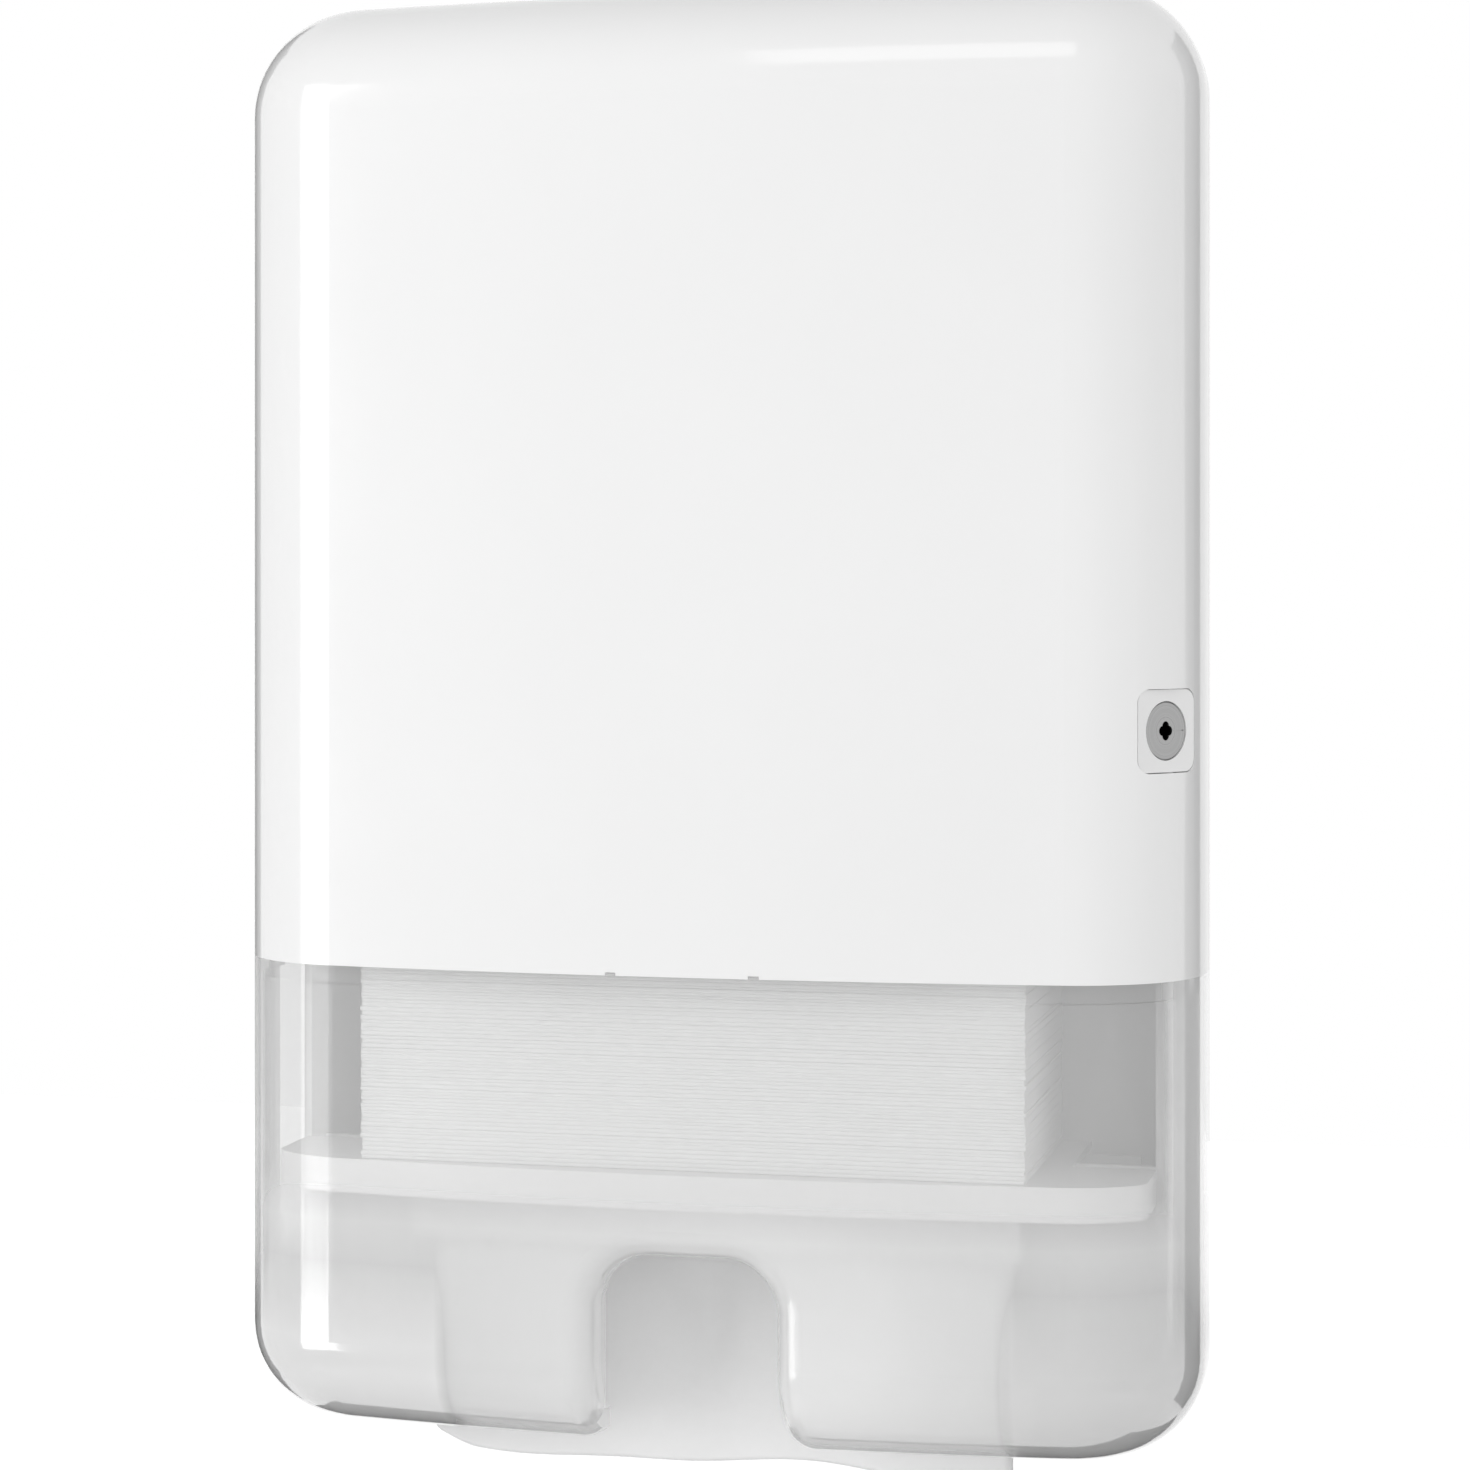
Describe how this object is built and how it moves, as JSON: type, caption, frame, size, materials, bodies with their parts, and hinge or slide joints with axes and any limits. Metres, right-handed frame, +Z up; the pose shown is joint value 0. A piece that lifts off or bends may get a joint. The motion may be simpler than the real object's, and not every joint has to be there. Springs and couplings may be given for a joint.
{
  "type": "multifold towel dispenser",
  "caption": "Wall-mounted dispenser for folded paper towels: hinged cover with a milky window, a finger notch and a key lock over a towel magazine, tray and throat.",
  "frame": {"origin": "middle of the four wall screw holes, on the wall plane at the housing's back face", "axes": "+Z up, +X to the viewer's right, +Y into the wall, so the cover faces -Y"},
  "size_m": [0.302, 0.102, 0.4562],
  "materials": {
    "cover_white": "glossy white",
    "window_milky": "glossy milky translucent",
    "housing_white": "satin white",
    "tray_white": "satin white",
    "lock_white": "glossy white",
    "lock_metal": "fine turned",
    "fastener_steel": "bright zinc plated",
    "paper": "soft crepe tissue"
  },
  "bodies": {
    "housing": {"back_housing": "housing_white", "hinge_brackets": "housing_white", "bracket_screws": "fastener_steel", "upper_hinge_pin": "fastener_steel", "lower_hinge_pin": "fastener_steel", "hinge_clips": "fastener_steel", "latch_keeper": "fastener_steel", "keeper_screws": "fastener_steel", "towel_tray": "tray_white", "tray_screws": "fastener_steel", "dispensing_throat": "tray_white", "throat_screws": "fastener_steel", "left_towel_guide": "tray_white", "right_towel_guide": "tray_white", "guide_screws": "fastener_steel", "towel_stack": "paper", "presented_towel": "paper"},
    "cover": {"upper_cover": "cover_white", "cover_window": "window_milky", "window_screws": "fastener_steel", "lock_housing": "lock_white", "lock_screws": "fastener_steel"},
    "lock": {"lock_rotor": "lock_metal", "lock_cam": "fastener_steel", "cam_washer": "fastener_steel", "cam_screw": "fastener_steel"}
  },
  "joints": [
    {"name": "cover_hinge", "type": "hinge", "parent": "housing", "child": "cover", "pos_m": [-0.143, -0.036, 0], "axis": [0, 0, -1], "range_deg": [0, 115]},
    {"name": "lock_turn", "type": "hinge", "parent": "cover", "child": "lock", "pos_m": [0.14151, -0.07684, -0.003], "axis": [-0.8111, 0.585, 0], "range_deg": [0, 90]}
  ]
}
